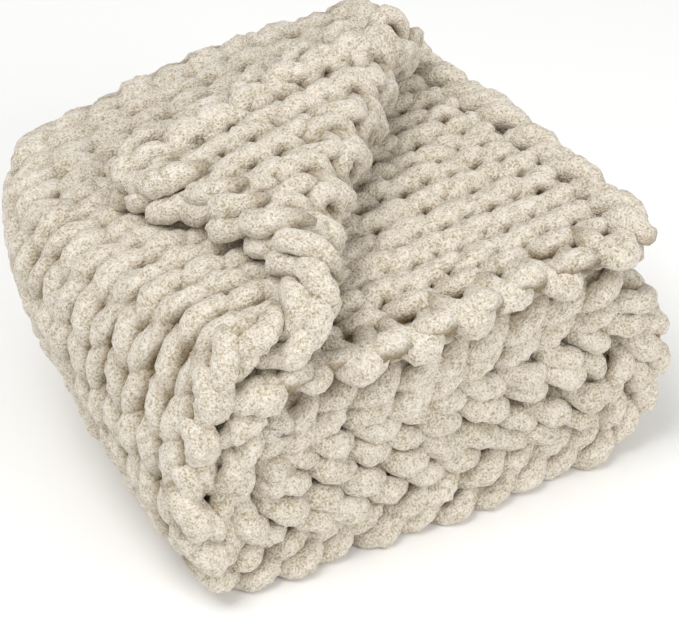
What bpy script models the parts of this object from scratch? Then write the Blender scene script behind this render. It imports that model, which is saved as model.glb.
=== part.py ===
"""A chunky knit blanket, folded for a shelf or a sofa arm.

The blanket is one sheet. It is folded in half along its length, so that the long fold is at the
back and both long edges are at the front. That double strip is then folded in three: the right
third goes over the base, and the left third wraps up round it and over the top. Last, the front
corner of the top ply is turned back to the left, which shows the ply under it.

The script draws the sheet flat, cuts the fold lines into it, gives it its thickness, and then
carries every point to the place where it lies in the folded stack. Metres, +Z up. The origin is
on the surface that the blanket rests on, under the middle of its outline.
"""

import math

import bmesh
import bpy
from mathutils import Vector

# The folded stack
DEPTH = 0.388  # front edges to back fold
PLY = 0.036  # from one ply to the next
GAP = 0.0024  # air between two plies
BACK_ROUND = PLY / 2  # middle radius of the fold along the back

# The three folds, seen from the front
LEFT_TURN_X = -0.133  # where the left wrap starts and ends
RIGHT_TURN_X = 0.142  # where the right turn starts and ends
RIGHT_THIRD_END_X = -0.130  # free end inside the wrap
WRAP_REACH = 0.027  # how far the middle of the wrap stands out from its start
WRAP_SQUEEZE = 0.70  # plies are pressed thinner at the wrap's far side
WRAP_SQUARENESS = 3.0  # 2 is an ellipse, more is boxier

# Free end on top, by ply: the turned-back ply is the outer one and falls short
TOP_END_FRONT_X = 0.117
TOP_END_BACK_X = 0.155
UNDER_END_X = 0.191
UNDER_CORNER_IN = 0.011  # the front corner of the under ply is rounded off by this much
UNDER_CORNER_REACH = 0.10  # over this stretch of its free end

# The turned-back corner folds over a line from the front edge to the back of the free end
CORNER_LINE_START = Vector((-0.130, -DEPTH / 2))
CORNER_LINE_END = Vector((0.157, 0.128))
CORNER_ROUND = PLY / 2

# Knit ribs, kept shallow because the plies nearly touch
RIB_DEPTH = 0.0060
COURSE_PITCH = 0.048
RIB_FADE_FAR, RIB_FADE_NEAR = 0.06, 0.02  # ribs fade out this far before the plain underside
ROPE_RISE = 0.006  # the chain along the under ply's free end is thicker than the ply
ROPE_WIDTH, ROPE_FOOT = 0.012, 0.035  # full height up to the first, level with the ply at the second
RIM_SHARE = 0.66  # part of the thickness that is left at a rim
RIM_ROUND = 0.010  # how far from a free end the rounding starts
AT_RIM = 0.001  # nearer than this to a rim counts as on it

# Steps of the mesh along each stretch of the strip, in the order in which it runs
STRETCHES = (
    # name, steps
    ("right third", 5),
    ("right turn", 8),
    ("base", 5),
    ("left wrap", 12),
    ("top third", 13),
)
OUTER_RIBS = 15
INNER_RIBS = 10
BACK_STEPS = 6
CORNER_STEPS = 6
NEAR = 1e-5  # places closer than this are the same
KEEP_CORNER = 0.0012  # a crease that passes closer to a corner of the grid goes through it

THICK = PLY - GAP
STRAIGHT = DEPTH - PLY
BACK_ARC = math.pi * BACK_ROUND
CLOTH_WIDTH = 2 * STRAIGHT + BACK_ARC
OUTER_PITCH = STRAIGHT / OUTER_RIBS
INNER_PITCH = STRAIGHT / INNER_RIBS

# Slow unevenness of the whole stack: waves per metre along x and y, and height
SAGS = (
    # along_x, along_y, phase, height
    (2.1, 1.3, 0.4, 0.012),
    (3.4, -2.6, 1.9, 0.009),
    (-1.7, 4.3, 3.1, 0.008),
)
LOFT = 1.03  # the stack is a little loftier than its plies pressed together
LOFT_TO_RIGHT = 0.40  # and loftier on the right, for each metre of x
LOFT_TO_FRONT = 0.266  # and at the front, for each metre of y

# How the left side swells, tucks in and rounds off. All of it starts at one x and is full at another
SETTLE_FROM_X, SETTLE_FULL_X = 0.05, -0.20
BELLY = 0.0306  # swells out
BELLY_Y = 0.075  # middle of the swelling at the top of the stack
BELLY_LEAN = 0.29  # and how much nearer the front it is at the floor
BELLY_SPAN = 0.36  # half a wave of the swelling, front to back
TUCK_UNDER = 0.040  # draws in towards the floor
BACK_CORNER_IN = 0.051  # the left back corner is rounded off in plan
BACK_CORNER_REACH = 0.306  # from the middle of the depth to where it is all rounded off

# Uneven front edges: waves per metre along the strip, phase and depth
EDGE_WAVES = (
    # per_metre, phase, depth
    (5.3, 0.7, 0.0030),
    (11.9, 2.4, 0.0018),
)
EDGE_WAVE_REACH = 0.06  # the waves die out this far from an edge

BLANKET_COLOUR = (0.72, 0.66, 0.55, 1.0)


def stretch_lengths():
    """Length of the strip's middle line along each stretch, in order."""
    wrap = math.pi * math.sqrt((WRAP_REACH**2 + (2 * PLY) ** 2) / 2)
    return (
        RIGHT_TURN_X - RIGHT_THIRD_END_X,
        math.pi * PLY,
        RIGHT_TURN_X - LEFT_TURN_X,
        wrap,
        UNDER_END_X - LEFT_TURN_X,
    )


LENGTHS = stretch_lengths()
STARTS = tuple(sum(LENGTHS[:i]) for i in range(len(LENGTHS)))
TOP_START = STARTS[-1]
CLOTH_LENGTH = sum(LENGTHS)


def smooth(value, low, high):
    """0 below low, 1 above high, and a soft step between."""
    share = min(1.0, max(0.0, (value - low) / (high - low)))
    return share * share * (3 - 2 * share)


def free_end(across):
    """Length along the strip at which the cloth ends, at this distance across it."""
    if across < STRAIGHT:
        reach = TOP_END_FRONT_X + (TOP_END_BACK_X - TOP_END_FRONT_X) * across / STRAIGHT
    else:
        turned = smooth(across, STRAIGHT, STRAIGHT + BACK_ARC)
        reach = TOP_END_BACK_X + (UNDER_END_X - TOP_END_BACK_X) * turned
        reach -= UNDER_CORNER_IN * (1 - smooth(CLOTH_WIDTH - across, 0, UNDER_CORNER_REACH))
    return TOP_START + reach - LEFT_TURN_X


def rows_across():
    """Distances across the cloth of the mesh rows: half a rib apart, then round the back fold."""
    outer = [OUTER_PITCH / 2 * i for i in range(2 * OUTER_RIBS)]
    back = [STRAIGHT + BACK_ARC * i / BACK_STEPS for i in range(BACK_STEPS)]
    inner = [STRAIGHT + BACK_ARC + INNER_PITCH / 2 * i for i in range(2 * INNER_RIBS + 1)]
    return outer + back + inner


def columns_along(across):
    """Distances along the strip of the mesh columns, which end on the slanting free end."""
    end = free_end(across)
    columns = [0.0, RIM_ROUND]
    for start, length, (_, steps) in zip(STARTS, LENGTHS, STRETCHES):
        if start == TOP_START:
            length = end - TOP_START
        columns += [start + length * (i + 1) / steps for i in range(steps)]
    return columns[:-1] + [end - RIM_ROUND, end]


def towards_corner():
    """Direction in plan from the corner's fold line square to it, towards the corner."""
    run = (CORNER_LINE_END - CORNER_LINE_START).normalized()
    return Vector((run.y, -run.x))


def corner_distance(along, across):
    """Distance past the corner's fold line of a point of the top ply, towards the corner."""
    point = Vector((LEFT_TURN_X + along - TOP_START, across - DEPTH / 2))
    return (point - CORNER_LINE_START).dot(towards_corner())


def flat_sheet():
    """The blanket laid out flat as a grid: x along the strip, y across it."""
    bm = bmesh.new()
    grid = [[bm.verts.new((x, y, 0)) for x in columns_along(y)] for y in rows_across()]
    for near, far in zip(grid, grid[1:]):
        for i in range(len(near) - 1):
            bm.faces.new((near[i], near[i + 1], far[i + 1], far[i]))
    return bm


def crease_corner(bm):
    """Cuts the corner's fold into the sheet: straight lines across it, where the turn bends."""
    square_to_line = towards_corner().to_3d()
    on_line = Vector((TOP_START - LEFT_TURN_X, DEPTH / 2, 0)) + CORNER_LINE_START.to_3d()
    turn = math.pi * CORNER_ROUND
    for step in range(CORNER_STEPS + 1):
        top_ply = [
            face
            for face in bm.faces
            if min(v.co.x for v in face.verts) > TOP_START - NEAR
            and max(v.co.y for v in face.verts) < STRAIGHT + NEAR
        ]
        parts = {v for face in top_ply for v in face.verts}
        parts |= {e for face in top_ply for e in face.edges}
        bmesh.ops.bisect_plane(
            bm,
            geom=list(parts) + top_ply,
            dist=KEEP_CORNER,
            plane_co=on_line + square_to_line * (turn * step / CORNER_STEPS),
            plane_no=square_to_line,
        )


def thicken(bm):
    """Makes the flat sheet a closed slab: the reverse at -1 and the face side at +1."""
    for vert in bm.verts:
        vert.co.z = -1
    made = bmesh.ops.extrude_face_region(bm, geom=list(bm.faces))
    for part in made["geom"]:
        if isinstance(part, bmesh.types.BMVert):
            part.co.z = 1
    bmesh.ops.recalc_face_normals(bm, faces=list(bm.faces))


def rib(distance, pitch):
    """0 on the crest of a rib and 1 in the groove, with a groove at distance 0."""
    return 0.5 + 0.5 * math.cos(2 * math.pi * distance / pitch)


def rise(along, across, side):
    """Height of the knit's surface above the middle of the ply, on the face or the reverse."""
    height = THICK / 2
    on_outer_ply = across < STRAIGHT + BACK_ARC
    from_inner_edge = CLOTH_WIDTH - across
    to_end = free_end(across) - along
    if side > 0:
        base_start, base_end = STARTS[2], STARTS[3]
        clear_of_base = 1 - smooth(along, base_start - RIB_FADE_FAR, base_start - RIB_FADE_NEAR)
        clear_of_base += smooth(along, base_end + RIB_FADE_NEAR, base_end + RIB_FADE_FAR)
        pitch = OUTER_PITCH if on_outer_ply else INNER_PITCH
        from_edge = across if on_outer_ply else from_inner_edge
        height -= RIB_DEPTH * rib(from_edge, pitch) * clear_of_base
    elif on_outer_ply:
        on_top = smooth(along, TOP_START, TOP_START + RIB_FADE_NEAR)
        height -= RIB_DEPTH * rib(along - TOP_START, COURSE_PITCH) * on_top
    else:
        height -= RIB_DEPTH * rib(from_inner_edge, INNER_PITCH)
        height += ROPE_RISE * (1 - smooth(to_end, ROPE_WIDTH, ROPE_FOOT))
    if min(across, from_inner_edge, to_end, along) < AT_RIM:
        height *= RIM_SHARE
    return height


def strip_point(along, offset):
    """Front view of the folded strip: (x, z) at this length, offset outwards from its middle."""
    right_turn, base, wrap, top = STARTS[1:]
    if along < right_turn:
        return RIGHT_THIRD_END_X + along, 3 * PLY + offset
    if along < base:
        angle = math.pi * (along - right_turn) / LENGTHS[1]
        radius = PLY + offset
        return RIGHT_TURN_X + radius * math.sin(angle), 2 * PLY + radius * math.cos(angle)
    if along < wrap:
        return RIGHT_TURN_X - (along - base), PLY - offset
    if along < top:
        angle = math.pi * (along - wrap) / LENGTHS[3]
        bulge = abs(math.sin(angle)) ** (2 / WRAP_SQUARENESS)
        level = math.copysign(abs(math.cos(angle)) ** (2 / WRAP_SQUARENESS), math.cos(angle))
        reach = WRAP_REACH + WRAP_SQUEEZE * offset
        return LEFT_TURN_X - reach * bulge, 3 * PLY - (2 * PLY + offset) * level
    return LEFT_TURN_X + (along - top), 5 * PLY + offset


def edge_wave(along, from_edge):
    """How far the uneven front edge lies in front of a straight one."""
    wave = 0
    for per_metre, phase, depth in EDGE_WAVES:
        wave += depth * math.sin(2 * math.pi * per_metre * along + phase)
    return wave * (1 - smooth(from_edge, 0, EDGE_WAVE_REACH))


def folded(along, across, out):
    """Where a point of the cloth lies in the stack before it settles, out from the cloth's middle."""
    if across <= STRAIGHT:
        offset = PLY / 2 + out
        y = -DEPTH / 2 + across + edge_wave(along, across)
    elif across < STRAIGHT + BACK_ARC:
        angle = (across - STRAIGHT) / BACK_ROUND
        offset = (BACK_ROUND + out) * math.cos(angle)
        y = DEPTH / 2 - PLY + (BACK_ROUND + out) * math.sin(angle)
    else:
        from_front = CLOTH_WIDTH - across
        offset = -(PLY / 2 + out)
        y = -DEPTH / 2 + from_front - edge_wave(along, from_front)
    x, z = strip_point(along, offset)
    past_line = corner_distance(along, across)
    if along >= TOP_START and across <= STRAIGHT and past_line > 0:
        x, y, z = turned_corner(x, y, out, past_line)
    return Vector((x, y, z))


def turned_corner(x, y, out, past_line):
    """The top ply's corner, rolled over its fold line and laid down on the left."""
    square_to_line = towards_corner()
    foot = Vector((x, y)) - square_to_line * past_line
    radius = CORNER_ROUND - out
    angle = min(math.pi, past_line / CORNER_ROUND)
    laid_back = max(0.0, past_line - math.pi * CORNER_ROUND)
    place = foot + square_to_line * (radius * math.sin(angle) - laid_back)
    return place.x, place.y, 6 * PLY - radius * math.cos(angle)


def settled(point):
    """Lets the neat stack sag and lean as a soft thing does, and swell on its left."""
    x, y, z = point
    z -= GAP / 2
    loft = LOFT + LOFT_TO_RIGHT * x - LOFT_TO_FRONT * y
    for along_x, along_y, phase, height in SAGS:
        loft += height * math.sin(2 * math.pi * (along_x * x + along_y * y) + phase)
    toward_left = 1 - smooth(x, SETTLE_FULL_X, SETTLE_FROM_X)
    low_down = 1 - z / (6 * PLY)
    belly = BELLY * math.cos(math.pi * (y - BELLY_Y + BELLY_LEAN * low_down) / BELLY_SPAN)
    corner_in = BACK_CORNER_IN * smooth(y, 0.0, BACK_CORNER_REACH)
    x += toward_left * (corner_in + TUCK_UNDER * low_down - belly)
    y -= toward_left * corner_in
    return Vector((x, y, z * loft))


def fold(bm):
    """Carries every point of the slab to its place, and centres the stack over the origin."""
    for vert in bm.verts:
        along, across, side = vert.co
        vert.co = settled(folded(along, across, side * rise(along, across, side)))
    low = [min(v.co[i] for v in bm.verts) for i in range(2)]
    high = [max(v.co[i] for v in bm.verts) for i in range(2)]
    middle = Vector(((low[0] + high[0]) / 2, (low[1] + high[1]) / 2, 0))
    bmesh.ops.translate(bm, vec=-middle, verts=list(bm.verts))


def chenille_material():
    material = bpy.data.materials.new("chenille yarn")
    material.use_nodes = True
    shader = material.node_tree.nodes["Principled BSDF"]
    shader.inputs["Base Color"].default_value = BLANKET_COLOUR
    shader.inputs["Roughness"].default_value = 0.95
    shader.inputs["Metallic"].default_value = 0.0
    return material


def make_blanket():
    bm = flat_sheet()
    crease_corner(bm)
    thicken(bm)
    fold(bm)
    mesh = bpy.data.meshes.new("knit_blanket")
    bm.to_mesh(mesh)
    bm.free()
    mesh.materials.append(chenille_material())
    mesh.shade_smooth()
    blanket = bpy.data.objects.new("knit_blanket", mesh)
    bpy.context.scene.collection.objects.link(blanket)
    return blanket


for old in list(bpy.data.objects):
    bpy.data.objects.remove(old)
make_blanket()
print(f"cloth {CLOTH_LENGTH:.3f} x {CLOTH_WIDTH:.3f} m")
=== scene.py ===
# %% [markdown]
# # A chunky knit blanket, folded
#
# The blanket is one sheet, knitted by hand in a thick chenille yarn. It is folded in half along
# its length, then in three, and the front corner of the top ply is turned back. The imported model
# holds the folded shape as a plain solid. Here that solid gets its yarn: every stitch is a loop
# of a round, soft yarn that is drawn through the loop below it.
#
# The yarn is made flat first, as a formula in rows and columns, and every point is then carried to
# its place in the folded stack. A shape that is easy to describe flat is hard to describe folded,
# so one function does the folding for all pieces.

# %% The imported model
import math

import bpy
import numpy as np
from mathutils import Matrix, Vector


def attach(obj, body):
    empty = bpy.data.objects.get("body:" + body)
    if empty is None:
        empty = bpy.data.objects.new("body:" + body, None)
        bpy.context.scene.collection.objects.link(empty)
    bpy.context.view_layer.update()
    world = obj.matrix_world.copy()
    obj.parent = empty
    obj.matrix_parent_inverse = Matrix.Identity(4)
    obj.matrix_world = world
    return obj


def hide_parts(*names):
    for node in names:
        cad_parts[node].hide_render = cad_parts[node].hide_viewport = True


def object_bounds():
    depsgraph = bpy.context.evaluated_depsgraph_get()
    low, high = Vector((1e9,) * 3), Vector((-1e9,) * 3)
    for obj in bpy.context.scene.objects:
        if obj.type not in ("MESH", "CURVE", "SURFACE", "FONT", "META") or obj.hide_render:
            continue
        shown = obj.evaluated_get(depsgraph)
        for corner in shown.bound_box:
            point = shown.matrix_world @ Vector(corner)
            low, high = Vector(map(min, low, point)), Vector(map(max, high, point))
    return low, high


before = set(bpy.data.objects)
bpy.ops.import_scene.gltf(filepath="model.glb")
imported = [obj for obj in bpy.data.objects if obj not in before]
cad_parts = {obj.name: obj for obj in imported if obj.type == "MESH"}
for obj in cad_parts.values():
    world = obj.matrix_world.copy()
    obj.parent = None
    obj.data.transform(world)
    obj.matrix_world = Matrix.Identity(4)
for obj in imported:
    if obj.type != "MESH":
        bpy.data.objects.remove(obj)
CAD_LOW, CAD_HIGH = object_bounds()
random = np.random.default_rng(7)

# %% [markdown]
# The fold. These are the sizes that the solid is built from, in metres: how deep the stack is,
# how far apart its plies lie, and where each of its three turns starts. They are repeated here
# because the yarn has to follow the same plies.

# %% Sizes of the fold
DEPTH = 0.388
PLY = 0.036
GAP = 0.0024
BACK_ROUND = PLY / 2
LEFT_TURN_X = -0.133
RIGHT_TURN_X = 0.142
RIGHT_THIRD_END_X = -0.130
WRAP_REACH = 0.027
WRAP_SQUEEZE = 0.70
WRAP_SQUARENESS = 3.0
TOP_END_FRONT_X = 0.117
TOP_END_BACK_X = 0.155
UNDER_END_X = 0.191
UNDER_CORNER_IN = 0.011
UNDER_CORNER_REACH = 0.10
CORNER_LINE_START = np.array((-0.130, -DEPTH / 2))
CORNER_LINE_END = np.array((0.157, 0.128))
CORNER_ROUND = PLY / 2
SAGS = (
    # waves per metre along x and y, phase, height
    (2.1, 1.3, 0.4, 0.012),
    (3.4, -2.6, 1.9, 0.009),
    (-1.7, 4.3, 3.1, 0.008),
)
LOFT = 1.03
LOFT_TO_RIGHT = 0.40
LOFT_TO_FRONT = 0.266
SETTLE_FROM_X, SETTLE_FULL_X = 0.05, -0.20
BELLY = 0.0306
BELLY_Y = 0.075
BELLY_LEAN = 0.29
BELLY_SPAN = 0.36
TUCK_UNDER = 0.040
BACK_CORNER_IN = 0.051
BACK_CORNER_REACH = 0.306
EDGE_WAVES = (
    # waves per metre, phase, depth
    (5.3, 0.7, 0.0030),
    (11.9, 2.4, 0.0018),
)
EDGE_WAVE_REACH = 0.06

STRAIGHT = DEPTH - PLY
BACK_ARC = math.pi * BACK_ROUND
CLOTH_WIDTH = 2 * STRAIGHT + BACK_ARC
LENGTHS = (
    RIGHT_TURN_X - RIGHT_THIRD_END_X,
    math.pi * PLY,
    RIGHT_TURN_X - LEFT_TURN_X,
    math.pi * math.sqrt((WRAP_REACH**2 + (2 * PLY) ** 2) / 2),
    UNDER_END_X - LEFT_TURN_X,
)
STARTS = [sum(LENGTHS[:i]) for i in range(len(LENGTHS))]
TOP_START = STARTS[-1]

# %% [markdown]
# Folding a point. A point of the flat cloth has a length along the strip, a distance across it
# and a height above or below the middle of the cloth, where the face of the knit is above. The
# folding is done in four moves: in three along the strip, in half at the back, back over the
# corner line, and last the whole stack sags a little.


# %% Folding the cloth
def smooth(value, low, high):
    share = np.clip((value - low) / (high - low), 0, 1)
    return share * share * (3 - 2 * share)


def free_end(across):
    """Length along the strip of the slanting free end on top."""
    front = TOP_END_FRONT_X + (TOP_END_BACK_X - TOP_END_FRONT_X) * across / STRAIGHT
    back = TOP_END_BACK_X + (UNDER_END_X - TOP_END_BACK_X) * smooth(across, STRAIGHT, STRAIGHT + BACK_ARC)
    back = back - UNDER_CORNER_IN * (1 - smooth(CLOTH_WIDTH - across, 0, UNDER_CORNER_REACH))
    return TOP_START - LEFT_TURN_X + np.where(across < STRAIGHT, front, back)


def power(value, square):
    return np.sign(value) * np.abs(value) ** (2 / square)


def wrap_line(angle, offset):
    """The left wrap seen from the front, a boxy half ellipse."""
    x = LEFT_TURN_X - (WRAP_REACH + WRAP_SQUEEZE * offset) * power(np.sin(angle), WRAP_SQUARENESS)
    z = 3 * PLY - (2 * PLY + offset) * power(np.cos(angle), WRAP_SQUARENESS)
    return x, z


def even_angles():
    """Angles round the wrap against the distance walked, so that stitches keep their size there."""
    angles = np.linspace(0, math.pi, 401)
    x, z = wrap_line(angles, PLY / 2)
    walked = np.concatenate(([0], np.cumsum(np.hypot(np.diff(x), np.diff(z)))))
    return walked / walked[-1], angles


WRAP_WALKED, WRAP_ANGLES = even_angles()


def strip_point(along, offset):
    """Front view of the folded strip: x and z at this length, offset outwards from its middle."""
    right_turn, base, wrap, top = STARTS[1:]
    turn_angle = math.pi * (along - right_turn) / LENGTHS[1]
    wrap_angle = np.interp((along - wrap) / LENGTHS[3], WRAP_WALKED, WRAP_ANGLES)
    wrap_x, wrap_z = wrap_line(wrap_angle, offset)
    stretches = [along < right_turn, along < base, along < wrap, along < top]
    x = np.select(
        stretches,
        [
            RIGHT_THIRD_END_X + along,
            RIGHT_TURN_X + (PLY + offset) * np.sin(turn_angle),
            RIGHT_TURN_X - (along - base),
            wrap_x,
        ],
        LEFT_TURN_X + (along - top),
    )
    z = np.select(
        stretches,
        [3 * PLY + offset, 2 * PLY + (PLY + offset) * np.cos(turn_angle), PLY - offset, wrap_z],
        5 * PLY + offset,
    )
    return x, z


def turn_corner(x, y, z, along, across, height):
    """Rolls the top ply's front corner over its line and lays it down on the left."""
    run = (CORNER_LINE_END - CORNER_LINE_START) / np.linalg.norm(CORNER_LINE_END - CORNER_LINE_START)
    to_corner = (run[1], -run[0])
    flat_x = LEFT_TURN_X + along - TOP_START
    past = (flat_x - CORNER_LINE_START[0]) * to_corner[0] + (y - CORNER_LINE_START[1]) * to_corner[1]
    turned = (along >= TOP_START) & (across <= STRAIGHT) & (past > 0)
    radius = CORNER_ROUND - height
    angle = np.minimum(math.pi, past / CORNER_ROUND)
    moved = radius * np.sin(angle) - np.maximum(0, past - math.pi * CORNER_ROUND) - past
    x = np.where(turned, x + moved * to_corner[0], x)
    y = np.where(turned, y + moved * to_corner[1], y)
    return x, y, np.where(turned, 6 * PLY - radius * np.cos(angle), z)


def settle(x, y, z):
    """Lets the neat stack sag, lean and bulge as soft cloth does."""
    z = z - GAP / 2
    loft = LOFT + LOFT_TO_RIGHT * x - LOFT_TO_FRONT * y
    for along_x, along_y, phase, height in SAGS:
        loft += height * np.sin(2 * math.pi * (along_x * x + along_y * y) + phase)
    toward_left = 1 - smooth(x, SETTLE_FULL_X, SETTLE_FROM_X)
    low_down = 1 - z / (6 * PLY)
    belly = BELLY * np.cos(math.pi * (y - BELLY_Y + BELLY_LEAN * low_down) / BELLY_SPAN)
    corner_in = BACK_CORNER_IN * smooth(y, 0.0, BACK_CORNER_REACH)
    x = x + toward_left * (corner_in + TUCK_UNDER * low_down - belly)
    return x, y - toward_left * corner_in, z * loft


SHIFT_X = CAD_HIGH[0] - (RIGHT_TURN_X + 2 * PLY - GAP / 2)
SHIFT_Y = CAD_HIGH[1] - (DEPTH - GAP) / 2
FLOOR_CLEARANCE = 0.0004


def fold(along, across, height):
    """Where points of the flat cloth lie in the folded stack, as an array of x, y, z."""
    along, across, height = np.broadcast_arrays(along, across, height)
    wave = sum(d * np.sin(2 * math.pi * n * along + phase) for n, phase, d in EDGE_WAVES)
    from_front = CLOTH_WIDTH - across
    angle = np.clip((across - STRAIGHT) / BACK_ROUND, 0, math.pi)
    outer, inner = across <= STRAIGHT, across >= STRAIGHT + BACK_ARC
    round_back = (BACK_ROUND + height) * np.cos(angle)
    offset = np.select([outer, inner], [PLY / 2 + height, -PLY / 2 - height], round_back)
    y = np.select(
        [outer, inner],
        [
            -DEPTH / 2 + across + wave * (1 - smooth(across, 0, EDGE_WAVE_REACH)),
            -DEPTH / 2 + from_front - wave * (1 - smooth(from_front, 0, EDGE_WAVE_REACH)),
        ],
        DEPTH / 2 - PLY + (BACK_ROUND + height) * np.sin(angle),
    )
    x, z = strip_point(along, offset)
    x, y, z = settle(*turn_corner(x, y, z, along, across, height))
    return np.stack((x + SHIFT_X, y + SHIFT_Y, np.maximum(z, FLOOR_CLEARANCE)), axis=-1)


print("first corner of the cloth lies at", fold(0.0, 0.0, 0.0).round(3))

# %% [markdown]
# The camera stands to the front left and looks down on the stack, a long lens from nearly two
# metres away. It comes before the knitting, so that every later piece can be looked at.

# %% Camera
PHOTO_WIDTH = 679
FOCAL_PIXELS = 2496
SENSOR = 36.0
CAMERA_TURN = math.radians(-29.25)
CAMERA_RISE = math.radians(34.70)
CAMERA_DISTANCE = 1.882
CAMERA_TARGET = Vector((0.0279, -0.0121, 0.0724))

camera_data = bpy.data.cameras.new("camera")
camera_data.sensor_width = SENSOR
camera_data.lens = SENSOR * FOCAL_PIXELS / PHOTO_WIDTH
camera = bpy.data.objects.new("camera", camera_data)
bpy.context.scene.collection.objects.link(camera)
backwards = Vector((
    math.sin(CAMERA_TURN) * math.cos(CAMERA_RISE),
    -math.cos(CAMERA_TURN) * math.cos(CAMERA_RISE),
    math.sin(CAMERA_RISE),
))
camera.location = CAMERA_TARGET + CAMERA_DISTANCE * backwards
camera.rotation_euler = backwards.to_track_quat("Z", "Y").to_euler()
bpy.context.scene.camera = camera
print("camera at", [round(value, 2) for value in camera.location])

# %% [markdown]
# Light and floor. The blanket stands on a white sweep in a bright studio: the room gives an even
# light, one large soft box high on the left models the stitches and leaves a pale shadow, and one
# in front brightens the edges of the plies.


# %% Colours and nodes
def colour(hex_code):
    """An sRGB hex colour as linear red, green, blue and alpha."""
    channels = [int(hex_code[i : i + 2], 16) / 255 for i in (1, 3, 5)]
    return [c / 12.92 if c <= 0.04045 else ((c + 0.055) / 1.055) ** 2.4 for c in channels] + [1.0]


def add_node(tree, kind, settings=(), inputs=()):
    """Adds a node, sets its properties, and sets or links its inputs."""
    node = tree.nodes.new(kind)
    for name, value in dict(settings).items():
        setattr(node, name, value)
    for name, value in dict(inputs).items():
        if isinstance(value, bpy.types.NodeSocket):
            tree.links.new(value, node.inputs[name])
        else:
            node.inputs[name].default_value = value
    return node


# %% Studio
STUDIO_WHITE = "#FFFFFF"
PAPER_WHITE = "#FCFCFB"
PAPER_ROUGHNESS = 0.9
FLOOR_SIZE = 8
ROOM_LIGHT = 0.54
SOFT_BOXES = (
    # name, place, aimed at, width, height, watts
    ("key", (-1.35, -0.4, 3.1), (0.0, 0.0, 0.1), 1.8, 1.8, 64),
    ("front fill", (1.1, -3.2, 1.6), (0.0, 0.0, 0.1), 2.6, 1.8, 48),
)

scene = bpy.context.scene
scene.view_settings.view_transform = "Standard"
world = bpy.data.worlds.new("studio")
world.use_nodes = True
room = world.node_tree.nodes["Background"]
room.inputs["Color"].default_value = colour(STUDIO_WHITE)
room.inputs["Strength"].default_value = ROOM_LIGHT
scene.world = world

for name, place, aimed_at, width, height, watts in SOFT_BOXES:
    light = bpy.data.lights.new(name, "AREA")
    light.shape = "RECTANGLE"
    light.size, light.size_y = width, height
    light.energy = watts
    lamp = bpy.data.objects.new(name, light)
    lamp.location = place
    lamp.rotation_euler = (Vector(place) - Vector(aimed_at)).to_track_quat("Z", "Y").to_euler()
    scene.collection.objects.link(lamp)

bpy.ops.object.select_all(action="DESELECT")
bpy.ops.mesh.primitive_grid_add(x_subdivisions=2, y_subdivisions=2, size=FLOOR_SIZE)
floor = bpy.context.object
floor.name = "floor"
sweep = bpy.data.materials.new("matt white studio paper")
sweep.use_nodes = True
paper = sweep.node_tree.nodes["Principled BSDF"]
paper.inputs["Base Color"].default_value = colour(PAPER_WHITE)
paper.inputs["Roughness"].default_value = PAPER_ROUGHNESS
floor.data.materials.append(sweep)
print("lights:", [box[0] for box in SOFT_BOXES])

# %% [markdown]
# Chenille is a yarn of short velvety pile that stands out from a thin core, here of polyester. It
# has no gloss: the eye sees a fine grain of fibre ends under two millimetres wide, pale on their
# tips and warm and dark between them, which gathers in clumps of about six, and a faint glow at the
# yarn's rim, which is the sheen. Grain and clumps are two noises in real sizes, and a third, of
# three centimetres, makes some loops a little paler. The first two also lift the surface. Single
# fibres are too fine to show, so the grain is drawn as coarse as it needs to be, and its dark
# between the fibre tips is painted shade. Deep between the loops the light is warm and low, so each
# vertex carries a painted shade, from how deep it lies, that darkens its colour there.

# %% Chenille
FIBRE_WIDTH = 0.0017
CLUMP_WIDTH = 0.0060
PATCH_WIDTH = 0.030
PILE_RELIEF = 0.0030
CLUMP_SHARE = 0.30
PATCH_SHARE = 0.14
# the grain's dark end is partly the fibre texture and partly painted shade between the fibre tips
ROOT_STOP, MIDDLE_STOP, TIP_STOP = 0.40, 0.54, 0.68
PILE_TIP = "#EFE7DA"
PILE_MIDDLE = "#D8CDBA"
PILE_ROOT_SHADE = "#AC9E81"
# warm dark colour of the painted shade deep between the loops
PAINTED_SHADE_TINT = "#9C8B68"


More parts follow.
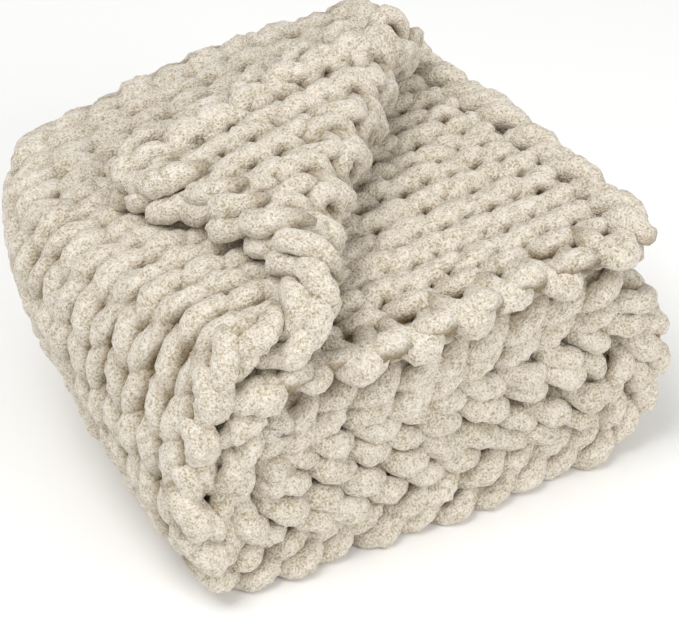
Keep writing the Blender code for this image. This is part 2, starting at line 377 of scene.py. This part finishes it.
def chenille(name):
    material = bpy.data.materials.new(name)
    material.use_nodes = True
    tree = material.node_tree
    shader = tree.nodes["Principled BSDF"]
    shader.inputs["Roughness"].default_value = 0.92
    shader.inputs["Specular IOR Level"].default_value = 0.15
    shader.inputs["Sheen Weight"].default_value = 0.35
    shader.inputs["Sheen Roughness"].default_value = 0.5
    place = add_node(tree, "ShaderNodeTexCoord").outputs["Object"]
    fibres = add_node(tree, "ShaderNodeTexNoise", (), {
        "Vector": place, "Scale": 1 / FIBRE_WIDTH, "Detail": 1.5, "Roughness": 0.6})
    clumps = add_node(tree, "ShaderNodeTexNoise", (), {
        "Vector": place, "Scale": 1 / CLUMP_WIDTH, "Detail": 1.0, "Roughness": 0.5})
    patches = add_node(tree, "ShaderNodeTexNoise", (), {
        "Vector": place, "Scale": 1 / PATCH_WIDTH, "Detail": 2.0})
    pile = add_node(tree, "ShaderNodeMix", {"data_type": "FLOAT"}, {
        "Factor": CLUMP_SHARE, "A": fibres.outputs["Fac"], "B": clumps.outputs["Fac"]})
    lit = add_node(tree, "ShaderNodeMath", {"operation": "MULTIPLY_ADD"}, {
        0: patches.outputs["Fac"], 1: PATCH_SHARE, 2: pile.outputs["Result"]})
    ramp = add_node(tree, "ShaderNodeValToRGB", (), {"Fac": lit.outputs["Value"]})
    stops = ramp.color_ramp.elements
    stops[0].position, stops[0].color = ROOT_STOP, colour(PILE_ROOT_SHADE)
    stops[1].position, stops[1].color = TIP_STOP, colour(PILE_TIP)
    middle = stops.new(MIDDLE_STOP)
    middle.color = colour(PILE_MIDDLE)
    # painted shade: the colour is multiplied towards the shade tint where the yarn lies deep among the loops
    painted_shade = add_node(tree, "ShaderNodeAttribute", {"attribute_name": "painted_shade"})
    painted_shade_mix = add_node(tree, "ShaderNodeMix", {"data_type": "RGBA", "blend_type": "MULTIPLY"}, {
        "Factor": painted_shade.outputs["Fac"], "A": ramp.outputs["Color"], "B": colour(PAINTED_SHADE_TINT)})
    tree.links.new(painted_shade_mix.outputs["Result"], shader.inputs["Base Color"])
    relief = add_node(tree, "ShaderNodeBump", (), {
        "Height": pile.outputs["Result"], "Strength": 1.0, "Distance": PILE_RELIEF})
    tree.links.new(relief.outputs["Normal"], shader.inputs["Normal"])
    return material


YARN_FINISH = chenille("chenille yarn, cream polyester pile")
print("finish:", YARN_FINISH.name)

# %% [markdown]
# The yarn. A length of yarn is a tube round a path, a little flatter where it presses on the cloth
# and uneven along its length, because soft pile is never round. A curve with a bevel could draw
# it, but it can't be pressed flat towards the cloth or carry a depth, so the tube is made ring by
# ring. Each ring stands square to the path, and its upright points out of the cloth.

# %% Yarn tube
YARN_RADIUS = 0.0102
SEEN_RING, HIDDEN_RING = 18, 10
END_RINGS = 3
FIRST_RING = 0.35  # how far into its round end a length of yarn starts, in rings
UPRIGHT_STEP = 0.001  # metres above and below the path, between which the upright is measured
WIDER, FLATTER = 1.04, 0.96
LUMPS = (
    # size in metres, share of the radius
    (0.034, 0.05),
    (0.016, 0.05),
    (0.0085, 0.045),
)
lump_waves = [
    (
        2 * math.pi / size * random.normal(size=(3, 3)) / math.sqrt(3),
        random.uniform(0, 2 * math.pi, 3),
        share,
    )
    for size, share in LUMPS
]


def lumpy(points):
    """Soft unevenness near 0 for each point, from a few crossing waves."""
    total = 0
    for directions, phases, share in lump_waves:
        total = total + share * np.sin(points @ directions.T + phases).sum(axis=-1)
    return total


def unit(vectors):
    return vectors / np.maximum(np.linalg.norm(vectors, axis=-1, keepdims=True), 1e-9)


class Yarn:
    """Collects lengths of yarn until they are made one object."""

    def __init__(self, name, ring):
        self.name, self.ring, self.count = name, ring, 0
        self.points, self.faces, self.painted_shades = [], [], []

    def add(self, path, upright, wide, tall, painted_shade_of):
        """One length: ring centres, upright directions, half width and half height of the yarn,
        and a function that gives the painted shade of a place at some height above each centre, from how
        deep it lies."""
        ahead = unit(np.gradient(path, axis=0))
        upright = unit(upright - (upright * ahead).sum(axis=1, keepdims=True) * ahead)
        sideways = np.cross(ahead, upright)
        closing = np.minimum(np.arange(len(path)), np.arange(len(path))[::-1])
        round_end = np.sqrt(1 - (1 - np.minimum(closing + FIRST_RING, END_RINGS) / END_RINGS) ** 2)
        turn = np.arange(self.ring) * 2 * math.pi / self.ring
        side_part = (wide * round_end)[:, None] * np.cos(turn)
        up_part = (tall * round_end)[:, None] * np.sin(turn)
        spokes = side_part[..., None] * sideways[:, None] + up_part[..., None] * upright[:, None]
        rings = path[:, None] + spokes
        rings = path[:, None] + spokes * (1 + lumpy(rings))[..., None]
        # painted shade of every point, from how deep it lies among the loops
        self.painted_shades.append(np.broadcast_to(painted_shade_of(up_part), up_part.shape).ravel())
        self.points.append(rings.reshape(-1, 3))
        i = np.arange(len(path) - 1)[:, None] * self.ring
        j = np.arange(self.ring)
        after = (j + 1) % self.ring
        quads = np.stack((i + j, i + self.ring + j, i + self.ring + after, i + after), axis=-1)
        self.faces += (quads.reshape(-1, 4) + self.count).tolist()
        last = self.count + (len(path) - 1) * self.ring
        self.faces.append(list(range(self.count, self.count + self.ring)))
        self.faces.append(list(range(last + self.ring - 1, last - 1, -1)))
        self.count += len(path) * self.ring

    def finish(self):
        points = np.concatenate(self.points)
        points[:, 2] = np.maximum(points[:, 2], FLOOR_CLEARANCE)
        mesh = bpy.data.meshes.new(self.name)
        mesh.from_pydata(points.tolist(), [], self.faces)
        # the painted shade goes to the material as a point attribute
        mesh.attributes.new("painted_shade", "FLOAT", "POINT").data.foreach_set("value", np.concatenate(self.painted_shades))
        mesh.shade_smooth()
        mesh.materials.append(YARN_FINISH)
        piece = bpy.data.objects.new(self.name, mesh)
        bpy.context.scene.collection.objects.link(piece)
        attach(piece, "root")
        triangles = sum(len(polygon.vertices) - 2 for polygon in mesh.polygons)
        print(f"{self.name}: {triangles} triangles")
        return piece


# %% [markdown]
# Where the stitches go. Knitting has courses, the rows, and wales, the columns that its V shapes
# make. Here the courses run across the strip, and the wales along it. The outside of a turn is
# longer than its inside, so courses are spaced evenly on the outside, where they are seen.

# %% Courses and wales
COURSE = 0.0295
TOP_COURSES = 9
WALES = 17
EDGE_ROOM = 0.012
WALE = (CLOTH_WIDTH - 2 * EDGE_ROOM) / WALES


def outside_lengths():
    """Lengths along the strip against the distance walked on the outside of its outer ply."""
    along = np.linspace(0, TOP_START, 2001)
    x, z = strip_point(along, PLY / 2)
    return np.concatenate(([0], np.cumsum(np.hypot(np.diff(x), np.diff(z))))), along


OUTSIDE_WALKED, OUTSIDE_ALONG = outside_lengths()
STRIP_COURSES = round(OUTSIDE_WALKED[-1] / COURSE)


def course_place(course, across):
    """Length along the strip of a course number, which follows the slanting end on top."""
    below = np.interp(course / STRIP_COURSES * OUTSIDE_WALKED[-1], OUTSIDE_WALKED, OUTSIDE_ALONG)
    on_top = (course - STRIP_COURSES) / TOP_COURSES
    return np.where(course < STRIP_COURSES, below, TOP_START + on_top * (free_end(across) - TOP_START))


def in_cloth(course, wale):
    """Length along and distance across the cloth of a place counted in courses and wales."""
    across = EDGE_ROOM + wale * WALE
    return course_place(course, across), across


print(f"{STRIP_COURSES + TOP_COURSES} courses of {WALES} wales, each {1000 * WALE:.0f} mm wide")

# %% [markdown]
# A course of loops. One formula bends the yarn into a row of loops: it swings up and down once a
# stitch, leans in at the foot of each loop and out at its head, and comes to the front of the
# cloth on the legs and goes to the back at head and foot. Laid one course after another, each
# loop then passes through the one below, as in real knitting: V shapes on the face, and rows of
# bumps on the reverse.

# %% Knit loops
LOOP_RISE = 0.95
LOOP_BELLY = 0.18
LOOP_WAVE = 0.0086
LEG_SWELL = 0.20
SEEN_STEPS, HIDDEN_STEPS = 44, 24
WOBBLE = 0.05
HEIGHT_WOBBLE = 0.02  # metres in the height of a loop, for each whole of wobble
FACE_SHADE = (0.40, 1.05)  # levels, as shares of half a ply, between which the painted shade fades out
REVERSE_SHADE = (0.10, 0.75)


def knit_course(yarn, course, first, last, to_cloth, radius=YARN_RADIUS):
    """Knits one course from wale first to wale last. to_cloth turns courses and wales into
    lengths on the cloth."""
    stitches = last - first
    count = int(stitches * (SEEN_STEPS if yarn.ring == SEEN_RING else HIDDEN_STEPS)) + 1
    wale = np.linspace(first, last, count)
    turn = 2 * math.pi * (wale - 0.5)
    knots = np.arange(math.floor(first) - 1, math.ceil(last) + 2, 0.5)

    def wander(amount):
        return np.interp(wale, knots, random.normal(0, amount, len(knots)))

    up = (LOOP_RISE + wander(WOBBLE)) * np.cos(turn)
    over = wale + (LOOP_BELLY + wander(WOBBLE / 3)) * np.sin(2 * turn) + wander(WOBBLE / 2)
    height = -(LOOP_WAVE + wander(WOBBLE * HEIGHT_WOBBLE)) * np.cos(2 * turn)
    along, across = to_cloth(course + 0.5 + up + wander(WOBBLE / 2), over)
    path = fold(along, across, height)
    upright = fold(along, across, height + UPRIGHT_STEP) - fold(along, across, height - UPRIGHT_STEP)
    plump = radius * (1 + wander(WOBBLE) - LEG_SWELL * np.cos(2 * turn))

    # painted shade: the colour darkens towards the middle of the cloth, where the loops shade each other
    def painted_shade_of(above):
        level = (height[:, None] + above) / (PLY / 2)
        return 1 - np.where(level > 0, smooth(level, *FACE_SHADE), smooth(-level, *REVERSE_SHADE))

    yarn.add(path, upright, plump * WIDER, plump * FLATTER, painted_shade_of)


# %% Right third, base and the turns
BACK_WALE = (STRAIGHT + BACK_ARC - EDGE_ROOM) / WALE
PARTS = (
    # name, points round the yarn, first and last course, first and last wale
    ("right_third_knit", HIDDEN_RING, 0, 10, 0, WALES),
    ("right_turn_knit", SEEN_RING, 10, 16, 0, BACK_WALE),
    ("right_turn_inner_knit", HIDDEN_RING, 10, 16, BACK_WALE - 0.5, WALES),
    ("base_knit", HIDDEN_RING, 16, 26, 0, WALES),
    ("left_wrap_knit", SEEN_RING, 26, STRIP_COURSES, 0, BACK_WALE),
    ("left_wrap_inner_knit", HIDDEN_RING, 26, STRIP_COURSES, BACK_WALE - 0.5, WALES),
)
for name, ring, first, last, first_wale, last_wale in PARTS:
    part = Yarn(name, ring)
    for course in range(first, last):
        knit_course(part, course, first_wale, last_wale, in_cloth)
    part.finish()

# %% [markdown]
# The top ply goes on in the same courses, round the fold at the back. Its front corner is turned
# back, so that its reverse shows: rows of bumps beside the smooth V shapes of the face.

# %% Top ply with the turned corner
top = Yarn("top_ply_knit", SEEN_RING)
for course in range(STRIP_COURSES, STRIP_COURSES + TOP_COURSES):
    knit_course(top, course, 0, BACK_WALE, in_cloth)
top.finish()

# %% [markdown]
# The ply under the corner is seen from its reverse, where the bumps lie in rows from left to
# right. Its courses are laid that way.

# %% Panel beside the corner
PANEL_ROWS = 13
PANEL_WALES = 8
PANEL_RADIUS = 0.0110
ROPE_ROOM = 0.019
PANEL_START = TOP_START - 0.015


def in_panel(row, wale):
    across = CLOTH_WIDTH - EDGE_ROOM - row / PANEL_ROWS * (STRAIGHT - EDGE_ROOM)
    along = PANEL_START + wale / PANEL_WALES * (free_end(across) - ROPE_ROOM - PANEL_START)
    return along, across


panel = Yarn("under_ply_knit", SEEN_RING)
for row in range(PANEL_ROWS):
    knit_course(panel, row, 0, PANEL_WALES, in_panel, radius=PANEL_RADIUS)
panel.finish()

# %% [markdown]
# The edges. A hand knit ends in a chain along each edge: two strands of slanting links, like a
# plait, which stands out from the rim. Seen from the front, the chains are what shows each ply.
# Every link is a short plump length of yarn, with both ends tucked under its neighbours. A strand
# is one line of a table, so that each edge can have links of its own size and slant. The panel
# beside the turned corner differs: big loops hang over its front edge, and a rope of slanting
# links runs along its free end.

# %% Chains along the edges
LINK_STEPS = 18
LINK_RING = 16
LINK_ENDS = 0.60
LINK_TUCK = 0.014
EDGE_IN = 0.012
LOOPS_BACK = 0.006
ROPE_OUT = 0.019
LINK_FULLNESS = 0.9
LINK_SHADE = 0.6
LINK_SHADE_FADE = (0.05, 0.60)  # shares of a link's arch, over which the painted shade at its tucked ends fades out
CHAIN_INSET = 0.004
PLACE_UNEVEN = 0.09
UNEVEN = (0.0012, 0.0016, 0.07)  # of a link's height, bulge and thickness

PLAIT = (
    # height at its start and end, crown, bulge, slant outwards, radius, span in pitches
    (-0.0030, 0.0165, 0.000, 0.0085, 0.000, 0.0099, 1.45),
    (-0.0190, 0.0005, 0.000, 0.0070, 0.000, 0.0097, 1.45),
)
FLAT_PLAIT = (
    (0.0000, 0.0040, 0.010, 0.0020, 0.000, 0.0102, 1.45),
    (0.0000, -0.0040, -0.010, 0.0020, 0.000, 0.0102, 1.40),
)
HANGING_LOOPS = (
    (0.0090, 0.0070, -0.009, 0.0200, 0.000, 0.0124, 0.92),
    (-0.0080, -0.0140, 0.000, -0.0080, 0.000, 0.0100, 1.50),
)
ROPE = (
    (-0.0010, -0.0030, 0.009, -0.0100, 0.026, 0.0116, 1.45),
    (-0.0110, -0.0110, 0.000, -0.0080, 0.000, 0.0100, 1.50),
)


def edge_ruler(edge, start, end, height):
    """Places on an edge against the distance walked along it at this height."""
    places = np.linspace(start, end, 801)
    points = edge(places, 0.0, height)
    walked = np.linalg.norm(np.diff(points, axis=0), axis=1)
    return np.concatenate(([0], np.cumsum(walked))), places


def add_link(yarn, edge, ruler, start, end, strand):
    """One link of a chain, between two distances walked along the edge."""
    walked, places = ruler
    low, high, crown, bulge, slant, radius, _ = strand
    lift, push, fat = random.normal(0, UNEVEN)
    share = np.linspace(0, 1, LINK_STEPS)
    arch = np.sin(math.pi * share)
    ends = np.clip((start, end), 0, walked[-1])
    place = np.interp(ends[0] + share * (ends[1] - ends[0]), walked, places)
    height = low + (high - low) * share + crown * arch + lift
    outwards = (bulge + push + LINK_TUCK) * arch**LINK_FULLNESS - LINK_TUCK + slant * (share - 0.5)
    path = edge(place, outwards, height)
    upright = edge(place, outwards, height + UPRIGHT_STEP) - edge(place, outwards, height - UPRIGHT_STEP)
    plump = radius * (LINK_ENDS + (1 - LINK_ENDS) * arch) * (1 + fat)
    # painted shade where the link's ends are tucked under its neighbours
    root = LINK_SHADE * (1 - smooth(arch, *LINK_SHADE_FADE))
    yarn.add(path, upright, plump, plump, lambda above: root[:, None])


def add_chain(yarn, edge, start, end, pitch, strands):
    """A chain along an edge. edge turns a place, a distance outwards and a height into points."""
    for strand in strands:
        ruler = edge_ruler(edge, start, end, (strand[0] + strand[1]) / 2)
        length = ruler[0][-1]
        links = round(length / pitch)
        for link in range(-1, links):
            first = (link + random.normal(0, PLACE_UNEVEN)) * length / links
            add_link(yarn, edge, ruler, first, first + strand[-1] * length / links, strand)


def front_edge_outer(place, outwards, height):
    return fold(place, EDGE_IN - outwards, height)


def front_edge_inner(place, outwards, height):
    return fold(place, CLOTH_WIDTH - EDGE_IN + outwards, height)


def panel_front(place, outwards, height):
    """The under ply's front edge, with its reverse up."""
    return front_edge_inner(place, outwards - LOOPS_BACK, -height)


def free_edge(place, outwards, height):
    return fold(free_end(place) - EDGE_IN + outwards, place, height)


def panel_end(place, outwards, height):
    """The under ply's free end, with its reverse up."""
    return free_edge(place, outwards + ROPE_OUT, -height)


def cast_on_edge(place, outwards, height):
    return fold(EDGE_IN - outwards, place, height)


FLAP_END = float(free_end(0.0)) - EDGE_IN
PANEL_FROM = TOP_START - 0.030
PANEL_END = float(free_end(CLOTH_WIDTH)) - 0.002
CHAINS = (
    # name, edge, start, end, pitch, strands
    ("outer_front_chain", front_edge_outer, CHAIN_INSET, FLAP_END, 0.031, PLAIT),
    ("inner_front_chain", front_edge_inner, CHAIN_INSET, TOP_START, 0.031, PLAIT),
    ("panel_front_chain", panel_front, PANEL_FROM, PANEL_END, 0.041, HANGING_LOOPS),
    ("corner_edge_chain", free_edge, 0.0, STRAIGHT, 0.031, FLAT_PLAIT),
    ("panel_edge_chain", panel_end, STRAIGHT, CLOTH_WIDTH - CHAIN_INSET, 0.030, ROPE),
    ("cast_on_chain", cast_on_edge, 0.0, CLOTH_WIDTH, 0.034, FLAT_PLAIT),
)
for name, edge, start, end, pitch, strands in CHAINS:
    chain = Yarn(name, LINK_RING)
    add_chain(chain, edge, start, end, pitch, strands)
    chain.finish()

# %% [markdown]
# The heart of the cloth. Chenille pile fills the middle of the knit, so that no hole goes right
# through it. A thin sheet of the same pile, folded with the loops, stands for it.

# %% Sheet in the middle of the knit
HEART_STEPS_ALONG = 150
HEART_STEPS_ACROSS = 96
HEART_THICKNESS = 0.003
# painted shade over the whole sheet, which is seen only deep in the gaps between loops
HEART_PAINTED_SHADE = 0.4
HEART_INSET = 0.3  # courses that the sheet stays back at each end

bpy.ops.object.select_all(action="DESELECT")
bpy.ops.mesh.primitive_grid_add(
    x_subdivisions=HEART_STEPS_ALONG, y_subdivisions=HEART_STEPS_ACROSS, size=1)
heart = bpy.context.object
heart.name = "blanket_heart"
flat = np.empty(3 * len(heart.data.vertices))
heart.data.vertices.foreach_get("co", flat)
flat = flat.reshape(-1, 3) + 0.5
across = EDGE_IN + flat[:, 1] * (CLOTH_WIDTH - 2 * EDGE_IN)
course = HEART_INSET + flat[:, 0] * (STRIP_COURSES + TOP_COURSES - 2 * HEART_INSET)
heart.data.vertices.foreach_set("co", fold(course_place(course, across), across, 0.0).ravel())
# the sheet's colour is darkened evenly by painted shade
heart.data.attributes.new("painted_shade", "FLOAT", "POINT").data.foreach_set(
    "value", np.full(len(heart.data.vertices), HEART_PAINTED_SHADE))
solidify = heart.modifiers.new("thickness", "SOLIDIFY")
solidify.thickness = HEART_THICKNESS
solidify.offset = 0
bpy.ops.object.modifier_apply(modifier=solidify.name)
heart.data.shade_smooth()
heart.data.materials.append(YARN_FINISH)
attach(heart, "root")
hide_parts("knit_blanket")
print("sheet faces:", len(heart.data.polygons))
